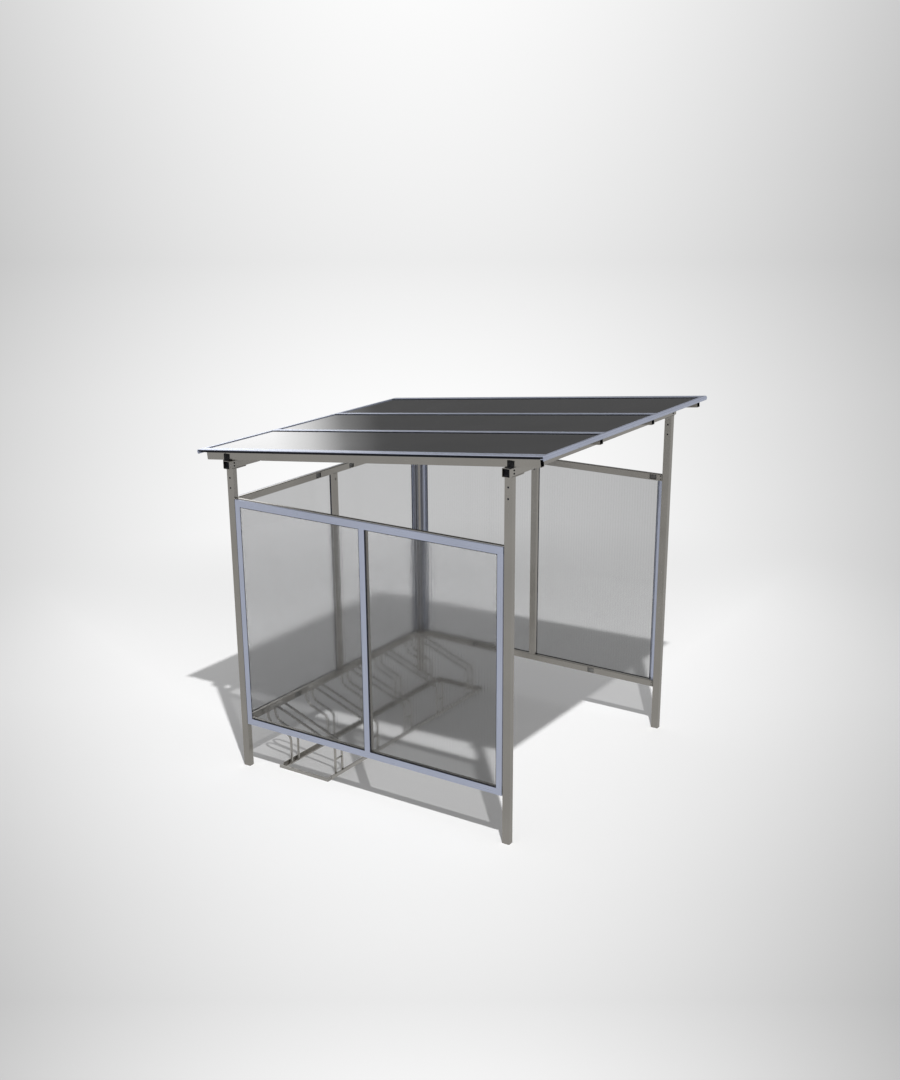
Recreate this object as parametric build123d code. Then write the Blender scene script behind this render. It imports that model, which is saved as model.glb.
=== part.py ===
"""Bike shelter: a tube frame with a falling roof, three glazed walls, an open front and a wheel rack.

The origin is on the ground in the middle of the shelter. X runs across the open front, the open front
faces -Y, the back wall is at +Y, and Z is up.
"""
import os
from math import atan2, cos, degrees, radians, sin, tan

from build123d import *

# Layout of the frame
bay_width = 2000            # post centre to post centre across the open front
bay_depth = 2000            # post centre to post centre from front to back
front_post_height = 2205
back_post_height = 1998

# Tube sections
tube_wall = 2.5
tube_corner = 4
post_wide = 40              # across the front
post_deep = 50              # front to back
beam_deep = 50
beam_tall = 50
beam_overhang = 25          # past the outer face of the posts
rafter_wide = 40
rafter_tall = 48
rafter_count = 4
rafter_front_overhang = 200     # past the post centres, along the slope
rafter_back_overhang = 175

# Post heads and feet
foot_plate = 3
head_plate = 5
head_plate_reach = 85       # past the inner face of the post, under the beam
head_hole_diameter = 9
head_hole_drop = 54         # from the post's top to the upper hole
head_hole_spacing = 64

# Angle brackets that hold the rafters on the beams
bracket_thick = 5
bracket_wide = 40
bracket_tall = 40
bracket_foot = 25
bracket_inner = 5           # how far it runs inwards of the posts' centres

# Roof sheets, the bars between them and the edge profiles
roof_overhang = 235         # past the post centres, measured level
roof_side_reach = 45        # past the centres of the outer posts
sheet_thick = 10
sheet_clearance = 0.25      # all round a sheet or pane in its groove
bar_flange = 4
bar_web = 6
bar_wide = 50
edge_bar_wide = 60
edge_lip = 25               # of the outer bars' top flange, past the rafter
edge_profile_deep = 25
edge_profile_wall = 3
edge_profile_nose = 5       # how far its rounded nose stands out
edge_profile_drop = 8       # how far its lip hangs below the top of the rafters

# Walls
wall_base = 305             # ground to the underside of the wall
wall_head_gap = 183         # from the top of the upper rail to the heads of the back posts
rail_tall = 45
rail_deep = 25
mid_post_wide = 50
slot_long = 50              # access slots in the rails' inner faces
slot_tall = 32
slot_end_gap = 40           # from a post to the slot of a side wall's upper rail
slot_mid_gap = 130          # from the mid post to the slot of the back wall's upper rail
mid_hole_diameter = 12
mid_hole_drop = 40          # from the upper rail to the hole in the mid post

# Aluminium trim that holds the panes
trim_deep = 15
trim_post_gap = 4
top_band_tall = 44
top_band_drop = 4           # below the top of the upper rail
bottom_band_tall = 42
stile_wide = 38
mullion_wide = 40
pane_thick = 10
pane_inset = 12             # how far a pane runs into its grooves
pane_play = 2               # left above a pane and at its sides

# Wheel rack
rack_length = 1860
rack_depth = 367            # between the upright legs, front to back
rack_wall_gap = 221         # from the back legs to the centres of the back posts
rack_angle_wide = 36
rack_angle_tall = 22
rack_angle_thick = 4
holder_count = 5
holder_pitch = 395
hoop_spacing = 70           # between the two hoops of a holder
hoop_diameter = 16
hoop_sides = 6
hoop_slope = 20             # degrees
hoop_front_height = 213     # where the axes of front leg and upper run meet
hoop_run = 477              # from there to the start of the loop, along the slope
loop_radius = 75
hoop_bend_radius = 45
cross_bar_height = 112
cross_bar_diameter = 12

# Cutting tools run past what they cut by this much
overrun = 5

half_width = bay_width / 2
half_depth = bay_depth / 2
pieces = {}


def tube(long, across, deep):
    """A hollow tube with rounded corners that stands on the XY plane."""
    bore = Rectangle(across - 2 * tube_wall, deep - 2 * tube_wall)
    return extrude(RectangleRounded(across, deep, tube_corner) - bore, amount=long)


def along_x(solid, centre):
    """A piece made upright, laid along X with its middle at a point: its X side stands upright."""
    return Pos(*centre) * Rot(0, 90, 0) * solid


def along_y(solid):
    """A piece made upright, laid along Y from the origin."""
    return Rot(-90, 0, 0) * solid


def block(low, high):
    """A plain block between two corners."""
    size = [b - a for a, b in zip(low, high)]
    return Pos(*low) * Box(*size, align=(Align.MIN, Align.MIN, Align.MIN))


def group(solids):
    """Several solids of one piece or kind, kept in one node."""
    return Compound(children=[solid.solid() for solid in solids])


# Posts, with a closed foot and two bolt holes near the head

def post(height):
    solid = tube(height, post_wide, post_deep)
    solid += extrude(Rectangle(post_wide - 2 * tube_wall, post_deep - 2 * tube_wall), amount=foot_plate)
    for drop in (head_hole_drop, head_hole_drop + head_hole_spacing):
        drill = Cylinder(head_hole_diameter / 2, post_wide + 2 * overrun)
        solid -= along_x(drill, (0, 0, height - drop))
    return solid


sides = {"left": -1, "right": 1}
rows = {"front": (-half_depth, front_post_height), "back": (half_depth, back_post_height)}
head_plates = []
for row, (row_y, height) in rows.items():
    for side, sign in sides.items():
        pieces[f"post_{row}_{side}"] = Pos(sign * half_width, row_y, 0) * post(height)
        outer = half_width + post_wide / 2
        inner = half_width - post_wide / 2 - head_plate_reach
        low_x, high_x = sorted((sign * outer, sign * inner))
        head_plates.append(block(
            (low_x, row_y - post_deep / 2, height),
            (high_x, row_y + post_deep / 2, height + head_plate)))
pieces["post_head_plates"] = group(head_plates)

# Beams across the post heads

beam_long = bay_width + post_wide + 2 * beam_overhang
for row, (row_y, height) in rows.items():
    middle = tube(beam_long, beam_tall, beam_deep)
    middle = Pos(0, 0, -beam_long / 2) * middle
    pieces[f"{row}_beam"] = along_x(middle, (0, row_y, height + head_plate + beam_tall / 2))

# Rafters and roof, made level and then tipped about the back beam's rear top edge

front_beam_top = front_post_height + head_plate + beam_tall
back_beam_top = back_post_height + head_plate + beam_tall
roof_slope = atan2(front_beam_top - back_beam_top, bay_depth)
slope_depth = bay_depth / cos(roof_slope)       # between the post rows, along the slope
pivot_y = half_depth + beam_deep / 2
roof_place = Pos(0, pivot_y, back_beam_top) * Rot(-degrees(roof_slope), 0, 0)
back_line = -beam_deep / 2                      # the back posts' centres along the slope
front_line = back_line - slope_depth
rafter_pitch = bay_width / (rafter_count - 1)
rafter_places = [index * rafter_pitch - half_width for index in range(rafter_count)]

rafter_start = front_line - rafter_front_overhang
rafter_long = back_line + rafter_back_overhang - rafter_start
for number, x in enumerate(rafter_places, 1):
    rafter = along_y(tube(rafter_long, rafter_wide, rafter_tall))
    pieces[f"rafter_{number}"] = roof_place * Pos(x, rafter_start, rafter_tall / 2) * rafter

brackets = []
for row, (row_y, height) in rows.items():
    beam_top = height + head_plate + beam_tall
    for x in rafter_places:
        sign = -1 if x < 0 else 1
        outward = -1 if row == "front" else 1
        angle = None
        for reach, tall, outer in (
                (bracket_thick, bracket_tall, bracket_wide - bracket_inner),
                (bracket_foot, bracket_thick, beam_deep / 2)):
            low_x, high_x = sorted(x + sign * (rafter_wide / 2 + step) for step in (0, reach))
            low_y, high_y = sorted(row_y + outward * step for step in (-bracket_inner, outer))
            leg = block((low_x, low_y, beam_top), (high_x, high_y, beam_top + tall))
            angle = angle + leg if angle else leg
        brackets.append(angle)
pieces["rafter_brackets"] = group(brackets)

# Roof sheets held in grooved bars, with an edge profile across the front and the back

groove = sheet_thick + 2 * sheet_clearance
bar_tall = 2 * bar_flange + groove
nose_middle = (bar_tall - edge_profile_drop) / 2
nose_half = (bar_tall + edge_profile_drop) / 2
nose_radius = (nose_half**2 + edge_profile_nose**2) / (2 * edge_profile_nose)
nose_shift = (rafter_tall + nose_middle) * sin(roof_slope) + pivot_y
nose_reach = half_depth + roof_overhang - nose_radius       # from the middle to a nose's centre, level
roof_start = (-nose_reach - nose_shift) / cos(roof_slope) - nose_radius
roof_end = (nose_reach - nose_shift) / cos(roof_slope) + nose_radius
bar_start = roof_start + edge_profile_deep
bar_long = roof_end - edge_profile_deep - bar_start
roof_edge = half_width + roof_side_reach


def area(low_x, high_x, low_z, high_z):
    """A rectangle of a section drawn in XZ."""
    return Pos(low_x, low_z) * Rectangle(high_x - low_x, high_z - low_z, align=(Align.MIN, Align.MIN))


def bar_section(low_x, high_x, web_low, foot_low, foot_high):
    """A bar's section in XZ: a top flange, a web, and a foot on the rafter that leaves the grooves open."""
    outline = area(low_x, high_x, bar_tall - bar_flange, bar_tall)
    outline += area(web_low, web_low + bar_web, 0, bar_tall)
    return outline + area(foot_low, foot_high, 0, bar_flange)


def on_roof(section, start, long):
    """A section drawn in XZ, run down the slope from a place on top of the rafters."""
    run = extrude(Plane.XZ * section, amount=-long)
    return roof_place * Pos(0, start, rafter_tall) * run


web_lows = []
for number, x in enumerate(rafter_places, 1):
    if number == 1:
        low_x, high_x = -roof_edge, -roof_edge + edge_bar_wide
        span = (low_x, high_x, low_x + edge_lip, low_x + edge_lip, high_x)
    elif number == rafter_count:
        low_x, high_x = roof_edge - edge_bar_wide, roof_edge
        span = (low_x, high_x, high_x - edge_lip - bar_web, low_x, high_x - edge_lip)
    else:
        low_x, high_x = x - bar_wide / 2, x + bar_wide / 2
        span = (low_x, high_x, x - bar_web / 2, low_x, high_x)
    web_lows.append(span[2])
    pieces[f"glazing_bar_{number}"] = on_roof(bar_section(*span), bar_start, bar_long)

edge_profile_lip = edge_profile_nose + edge_profile_wall
sheet_start = roof_start + edge_profile_lip + sheet_clearance
sheet_long = roof_end - edge_profile_lip - sheet_clearance - sheet_start
for name, left_web, right_web in zip(("left", "middle", "right"), web_lows, web_lows[1:]):
    low_x = left_web + bar_web + sheet_clearance
    low_z = bar_flange + sheet_clearance
    sheet = area(low_x, right_web - sheet_clearance, low_z, low_z + sheet_thick)
    pieces[f"roof_sheet_{name}"] = on_roof(sheet, sheet_start, sheet_long)


def edge_profile(outer, inward):
    """An F-shaped profile across the roof: a rounded lip, and two flanges that hold the sheets' ends."""
    nose_edge = outer + inward * edge_profile_nose
    lip_edge = outer + inward * edge_profile_lip
    low, high = (nose_edge, -edge_profile_drop), (nose_edge, bar_tall)
    nose = ThreePointArc(low, (outer, nose_middle), high)
    back = Polyline(high, (lip_edge, bar_tall), (lip_edge, -edge_profile_drop), low)
    section = make_face(nose + back)
    low_y, high_y = sorted((lip_edge - inward, outer + inward * edge_profile_deep))
    for low_z, high_z in ((0, bar_flange), (bar_tall - bar_flange, bar_tall)):
        section += area(low_y, high_y, low_z, high_z)
    solid = extrude(Plane.YZ * section, amount=roof_edge, both=True)
    return roof_place * Pos(0, 0, rafter_tall) * solid


pieces["roof_front_profile"] = edge_profile(roof_start, 1)
pieces["roof_back_profile"] = edge_profile(roof_end, -1)

# Walls, made along X with the outer face at Y = 0 and the inside towards +Y

wall_top = back_post_height - wall_head_gap
pane_groove = pane_thick + 2 * sheet_clearance
groove_low = (trim_deep - pane_groove) / 2
band_top = wall_top - top_band_drop
band_low = wall_base + bottom_band_tall
rail_centre = trim_deep + rail_deep / 2


def rail(long, base, slot_start):
    """A rail with two access slots in its inner face, at a distance from the middle on both sides."""
    solid = Pos(0, 0, -long / 2) * tube(long, rail_tall, rail_deep)
    solid = along_x(solid, (0, rail_centre, base + rail_tall / 2))
    inner_face = trim_deep + rail_deep
    slot_low = base + (rail_tall - slot_tall) / 2
    for low_x in (slot_start, -slot_start - slot_long):
        solid -= block(
            (low_x, rail_centre, slot_low),
            (low_x + slot_long, inner_face + overrun, slot_low + slot_tall))
    return solid


def mid_post(low, high):
    """The upright between the rails, with a bolt hole near its head."""
    solid = Pos(0, rail_centre, low) * tube(high - low, mid_post_wide, rail_deep)
    drill = Rot(-90, 0, 0) * Cylinder(
        mid_hole_diameter / 2, rail_deep, align=(Align.CENTER, Align.CENTER, Align.MIN))
    return solid - Pos(0, rail_centre, high - mid_hole_drop) * drill


def band(long, low, high, groove_from, groove_to):
    """A level trim band with a groove for the panes along one edge."""
    solid = block((-long / 2, 0, low), (long / 2, trim_deep, high))
    cut_low, cut_high = sorted((groove_from, groove_to))
    return solid - block(
        (-long / 2 - overrun, groove_low, cut_low),
        (long / 2 + overrun, groove_low + pane_groove, cut_high))


def stile(low_x, high_x, open_low, open_high):
    """An upright trim piece between the bands: a groove on both sides, or a rebate open to the inside."""
    low_z, high_z = band_low, band_top - top_band_tall
    cut_inner = groove_low + pane_groove if open_low and open_high else trim_deep + overrun
    solid = block((low_x, 0, low_z), (high_x, trim_deep, high_z))
    for is_open, edge, sign in ((open_low, low_x, 1), (open_high, high_x, -1)):
        if is_open:
            cut_low, cut_high = sorted((edge - sign * overrun, edge + sign * (pane_inset + pane_play)))
            solid -= block(
                (cut_low, groove_low, low_z - overrun),
                (cut_high, cut_inner, high_z + overrun))
    return solid


def wall(name, clear, place, upper_slot):
    """One wall between two posts that leave a clear length between them."""
    lower_slot = (clear / 2 - slot_long) / 2
    pieces[f"{name}_top_rail"] = place * rail(clear, wall_top - rail_tall, upper_slot)
    pieces[f"{name}_bottom_rail"] = place * rail(clear, wall_base, lower_slot)
    pieces[f"{name}_mid_post"] = place * mid_post(wall_base + rail_tall, wall_top - rail_tall)
    trim_long = clear - 2 * trim_post_gap
    band_edge = band_top - top_band_tall
    bands = [
        band(trim_long, band_edge, band_top, band_edge - overrun, band_edge + pane_inset + pane_play),
        band(trim_long, wall_base, band_low, band_low + overrun, band_low - pane_inset)]
    pieces[f"{name}_trim_bands"] = group(place * solid for solid in bands)
    end = trim_long / 2
    stiles = [
        stile(-end, -end + stile_wide, False, True),
        stile(-mullion_wide / 2, mullion_wide / 2, True, True),
        stile(end - stile_wide, end, True, False)]
    pieces[f"{name}_trim_stiles"] = group(place * solid for solid in stiles)
    near = mullion_wide / 2 - pane_inset
    far = end - stile_wide + pane_inset
    panes = []
    for sign in (-1, 1):
        low_x, high_x = sorted((sign * near, sign * far))
        panes.append(block(
            (low_x, groove_low + sheet_clearance, band_low - pane_inset),
            (high_x, groove_low + sheet_clearance + pane_thick, band_edge + pane_inset)))
    pieces[f"{name}_panes"] = group(place * solid for solid in panes)


side_clear = bay_depth - post_deep
back_clear = bay_width - post_wide
side_slot = side_clear / 2 - slot_end_gap - slot_long
back_slot = mid_post_wide / 2 + slot_mid_gap
wall("left_wall", side_clear, Pos(-half_width - post_wide / 2, 0, 0) * Rot(0, 0, -90), side_slot)
wall("right_wall", side_clear, Pos(half_width + post_wide / 2, 0, 0) * Rot(0, 0, 90), side_slot)
wall("back_wall", back_clear, Pos(0, half_depth + post_deep / 2, 0) * Rot(0, 0, 180), back_slot)

# Wheel rack: two angle rails and two end bars on the ground, with pairs of hairpin hoops on them

back_leg_y = half_depth - rack_wall_gap
front_leg_y = back_leg_y - rack_depth
hoop_angle = radians(hoop_slope)
holder_places = [(index - (holder_count - 1) / 2) * holder_pitch for index in range(holder_count)]


def angle_bar(long, outer_sign):
    """An angle along X from the origin's middle: a level leg, and an upright leg on its outer edge."""
    half = rack_angle_wide / 2
    solid = block((-long / 2, -half, 0), (long / 2, half, rack_angle_thick))
    low_y, high_y = sorted((outer_sign * half, outer_sign * (half - rack_angle_thick)))
    return solid + block((-long / 2, low_y, 0), (long / 2, high_y, rack_angle_tall))


rail_long = rack_length - 2 * rack_angle_wide
pieces["rack_rails"] = group(
    [Pos(0, front_leg_y, 0) * angle_bar(rail_long, -1), Pos(0, back_leg_y, 0) * angle_bar(rail_long, 1)])
end_long = rack_depth + rack_angle_wide
end_x = (rack_length - rack_angle_wide) / 2
end_y = (front_leg_y + back_leg_y) / 2
pieces["rack_end_bars"] = group(
    Pos(sign * end_x, end_y, 0) * Rot(0, 0, 90) * angle_bar(end_long, -sign) for sign in (-1, 1))


def slope_point(distance, below=0):
    """A point by its distance along the hoops' upper run from the front corner, and its depth below it."""
    return (
        0,
        front_leg_y + distance * cos(hoop_angle) + below * sin(hoop_angle),
        hoop_front_height + distance * sin(hoop_angle) - below * cos(hoop_angle))


def hoop_bar(path):
    """A bar along a path in YZ, with its sides in place of a round section."""
    start = Plane(origin=path @ 0, x_dir=(1, 0, 0), z_dir=path % 0)
    return sweep(start * RegularPolygon(hoop_diameter / 2, hoop_sides), path=path)


def bent_leg(corner, bend_end):
    """The axis of an upright leg from the angle rail that bends backwards at a corner."""
    bend_start = (0, corner[1], corner[2] - bend_long)
    upright = Line((0, corner[1], rack_angle_thick), bend_start)
    return upright + TangentArc(bend_start, bend_end, tangent=(0, 0, 1))


bend_long = hoop_bend_radius * tan((radians(90) - hoop_angle) / 2)
run_start = slope_point(bend_long)
run_end = slope_point(hoop_run)
front_leg = hoop_bar(bent_leg(slope_point(0), run_start))
slope_bar = hoop_bar(Line(run_start, run_end))

arm_below = 2 * loop_radius
arm_corner = (rack_depth - arm_below * sin(hoop_angle)) / cos(hoop_angle)
arm_start = slope_point(arm_corner + bend_long, arm_below)
arm_end = slope_point(hoop_run, arm_below)
loop = ThreePointArc(arm_end, slope_point(hoop_run + loop_radius, loop_radius), run_end)
back_leg = hoop_bar(bent_leg(slope_point(arm_corner, arm_below), arm_start) + Line(arm_start, arm_end) + loop)

cross_bar = extrude(RegularPolygon(cross_bar_diameter / 2, hoop_sides), amount=hoop_spacing / 2, both=True)
cross_bar = along_x(cross_bar, (0, front_leg_y, cross_bar_height))
left_hoop = Pos(-hoop_spacing / 2, 0, 0)
right_hoop = Pos(hoop_spacing / 2, 0, 0)
front_frame = left_hoop * front_leg + cross_bar + right_hoop * front_leg
pieces["rack_front_legs"] = group(Pos(x, 0, 0) * front_frame for x in holder_places)
hoop_places = [Pos(x, 0, 0) * hoop for x in holder_places for hoop in (left_hoop, right_hoop)]
pieces["rack_slope_bars"] = group(place * slope_bar for place in hoop_places)
pieces["rack_back_legs"] = group(place * back_leg for place in hoop_places)

os.makedirs("parts", exist_ok=True)
for node, shape in pieces.items():
    export_step(shape, f"parts/{node}.step")
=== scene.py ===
"""Looks of the bike shelter: finishes for every CAD node, the small fittings, the stage and the camera."""
from math import atan2, cos, pi, radians, sin, tan

import bmesh
import bpy
from mathutils import Matrix, Vector


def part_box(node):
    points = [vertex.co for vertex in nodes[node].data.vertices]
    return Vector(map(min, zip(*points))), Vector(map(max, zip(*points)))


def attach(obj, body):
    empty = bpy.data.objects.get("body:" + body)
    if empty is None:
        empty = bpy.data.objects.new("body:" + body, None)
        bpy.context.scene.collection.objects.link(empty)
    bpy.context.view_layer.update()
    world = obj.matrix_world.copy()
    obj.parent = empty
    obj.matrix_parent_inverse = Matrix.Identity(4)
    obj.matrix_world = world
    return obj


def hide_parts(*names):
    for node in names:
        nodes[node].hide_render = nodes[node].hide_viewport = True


bl_info = {
    "name": "Bike shelter looks",
    "version": (1, 0, 0),
    "blender": (4, 5, 0),
    "location": "View3D > Sidebar > Shelter",
    "description": "Finishes, fittings and studio stage for a glazed bike shelter with a wheel rack",
    "category": "Object",
}

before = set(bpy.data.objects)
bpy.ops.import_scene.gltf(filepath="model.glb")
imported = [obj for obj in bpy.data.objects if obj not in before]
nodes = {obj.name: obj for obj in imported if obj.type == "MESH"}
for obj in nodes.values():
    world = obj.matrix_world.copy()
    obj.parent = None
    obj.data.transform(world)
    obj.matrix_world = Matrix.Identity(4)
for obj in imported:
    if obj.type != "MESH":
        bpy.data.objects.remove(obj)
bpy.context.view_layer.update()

WALLS = ("left_wall", "right_wall", "back_wall")
ROWS = ("front", "back")
SIDES = ("left", "right")
POSTS = [f"post_{row}_{side}" for row in ROWS for side in SIDES]
RAFTERS = [f"rafter_{number}" for number in range(1, 5)]
BARS = [f"glazing_bar_{number}" for number in range(1, 5)]
SHEETS = [f"roof_sheet_{name}" for name in ("left", "middle", "right")]


# Sizes and colours a user would change

class ShelterFinish(bpy.types.PropertyGroup):
    steel: bpy.props.FloatVectorProperty(
        name="Frame steel", description="Colour of the frame's tubes", subtype="COLOR",
        default=(0.405, 0.388, 0.358))
    trim: bpy.props.FloatVectorProperty(
        name="Trim aluminium", description="Colour of the anodised trim and roof bars", subtype="COLOR",
        default=(0.535, 0.578, 0.715))
    pane: bpy.props.FloatVectorProperty(
        name="Wall panes", description="Tint of the walls' twin-wall sheets", subtype="COLOR",
        default=(0.520, 0.522, 0.525))
    pane_shade: bpy.props.FloatProperty(
        name="Pane shade", description="Share of lamp light that each face of a pane keeps back",
        subtype="FACTOR", min=0, max=1, default=0.45)
    roof: bpy.props.FloatVectorProperty(
        name="Roof sheets", description="Colour of the smoked roof sheets", subtype="COLOR",
        default=(0.018, 0.018, 0.019))
    # One dark colour for the real gaskets and strips, and for the plugs and lip blocks that are painted
    # shade.
    rubber_and_painted_shade: bpy.props.FloatVectorProperty(
        name="Rubber", description="Colour of gaskets and plugs", subtype="COLOR",
        default=(0.010, 0.011, 0.016))
    rack: bpy.props.FloatVectorProperty(
        name="Rack steel", description="Colour of the wheel rack", subtype="COLOR",
        default=(0.470, 0.456, 0.429))


class ShelterSizes(bpy.types.PropertyGroup):
    tube_wall: bpy.props.FloatProperty(
        name="Tube wall", description="Wall of the frame's tubes", unit="LENGTH", default=0.0025)
    rafter_tall: bpy.props.FloatProperty(
        name="Rafter height", description="Height of a rafter across the slope", unit="LENGTH",
        default=0.048)
    rafter_wide: bpy.props.FloatProperty(
        name="Rafter width", description="Width of a rafter", unit="LENGTH", default=0.040)
    # The end plugs are painted shade for the dark inside of the open tubes.
    shade_plug_depth: bpy.props.FloatProperty(
        name="Plug depth", description="How far an end plug sits inside its tube", unit="LENGTH",
        default=0.020)
    head_hole_drop: bpy.props.FloatProperty(
        name="Head hole drop", description="From a post's head to its upper bolt hole", unit="LENGTH",
        default=0.054)
    head_hole_spacing: bpy.props.FloatProperty(
        name="Head hole spacing", description="Between the two bolt holes of a post", unit="LENGTH",
        default=0.064)
    rib_pitch: bpy.props.FloatProperty(
        name="Rib pitch", description="Spacing of the ribs in the twin-wall sheets", unit="LENGTH",
        default=0.020)
    gasket: bpy.props.FloatProperty(
        name="Gasket width", description="Visible width of the pane gaskets", unit="LENGTH", default=0.0035)
    pane_inset: bpy.props.FloatProperty(
        name="Pane inset", description="How far a pane runs into its trim", unit="LENGTH", default=0.012)
    mullion: bpy.props.FloatProperty(
        name="Mullion width", description="Width of the trim between two panes", unit="LENGTH",
        default=0.040)
    hoop_radius: bpy.props.FloatProperty(
        name="Hoop radius", description="Radius of the rack's bent bars", unit="LENGTH", default=0.008)
    hoop_bend: bpy.props.FloatProperty(
        name="Hoop bend", description="Bend radius of the rack's bars", unit="LENGTH", default=0.045)
    hoop_spacing: bpy.props.FloatProperty(
        name="Hoop spacing", description="Between the two hoops of a wheel holder", unit="LENGTH",
        default=0.070)
    holder_pitch: bpy.props.FloatProperty(
        name="Holder pitch", description="Between neighbouring wheel holders", unit="LENGTH", default=0.395)
    hoop_slope: bpy.props.FloatProperty(
        name="Hoop slope", description="Rise of a hoop's upper run", subtype="ANGLE", default=radians(20))
    hoop_front: bpy.props.FloatProperty(
        name="Hoop front height", description="Height of the front corner of a hoop's axis", unit="LENGTH",
        default=0.213)
    hoop_run: bpy.props.FloatProperty(
        name="Hoop run", description="From the front corner to the loop, along the slope", unit="LENGTH",
        default=0.477)
    loop_radius: bpy.props.FloatProperty(
        name="Loop radius", description="Radius of a hoop's loop", unit="LENGTH", default=0.075)
    rack_depth: bpy.props.FloatProperty(
        name="Rack depth", description="Between front and back legs", unit="LENGTH", default=0.367)
    cross_bar: bpy.props.FloatProperty(
        name="Cross bar height", description="Height of the bar between two front legs", unit="LENGTH",
        default=0.112)
    rack_angle: bpy.props.FloatProperty(
        name="Rack angle thickness", description="Thickness of the rack's ground angles", unit="LENGTH",
        default=0.004)
    edge_lip: bpy.props.FloatProperty(
        name="Edge lip", description="Reach of the outer roof bars past the rafters", unit="LENGTH",
        default=0.025)
    bar_flange: bpy.props.FloatProperty(
        name="Bar flange", description="Thickness of a roof bar's flanges", unit="LENGTH", default=0.004)
    slot_long: bpy.props.FloatProperty(
        name="Slot length", description="Length of the access slots in the rails", unit="LENGTH",
        default=0.050)
    slot_tall: bpy.props.FloatProperty(
        name="Slot height", description="Height of the access slots in the rails", unit="LENGTH",
        default=0.032)
    slot_end_gap: bpy.props.FloatProperty(
        name="Slot end gap", description="From a post to the slot of a side wall's upper rail", unit="LENGTH",
        default=0.040)
    slot_middle: bpy.props.FloatProperty(
        name="Slot from middle", description="From the middle to the slot of the back wall's upper rail",
        unit="LENGTH", default=0.155)


class ShelterStage(bpy.types.PropertyGroup):
    lamp_place: bpy.props.FloatVectorProperty(
        name="Lamp place", description="Where the studio lamp hangs", subtype="TRANSLATION",
        default=(-6.53, -5.55, 13.7))
    lamp_power: bpy.props.FloatProperty(
        name="Lamp power", description="Power of the studio lamp", unit="POWER", default=2070)
    lamp_size: bpy.props.FloatProperty(
        name="Lamp size", description="Diameter of the studio lamp", unit="LENGTH", default=0.28)
    fill: bpy.props.FloatProperty(
        name="Fill light", description="Level of the even light all round", default=0.42)
    floor: bpy.props.FloatProperty(
        name="Floor gain", description="Strength of the pale floor's tone", default=1.12)
    mirrored_floor: bpy.props.FloatProperty(
        name="Mirrored floor", description="Level of the floor in reflections", default=0.56)
    camera_place: bpy.props.FloatVectorProperty(
        name="Camera place", description="Where the camera stands", subtype="TRANSLATION",
        default=(-7.2353, -4.7655, 3.9589))
    camera_yaw: bpy.props.FloatProperty(
        name="Camera yaw", description="Turn of the camera from +Y towards +X", subtype="ANGLE",
        default=radians(57.447))
    camera_pitch: bpy.props.FloatProperty(
        name="Camera pitch", description="Tilt of the camera above the horizon", subtype="ANGLE",
        default=radians(-19.39))
    camera_lens: bpy.props.FloatProperty(
        name="Camera lens", description="Focal length on a 36 mm frame", default=46.295)
    camera_shift: bpy.props.FloatVectorProperty(
        name="Camera shift", description="Lens shift that frames the shelter", size=2,
        default=(-0.02449, 0.07331))


# Node helpers for materials

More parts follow.
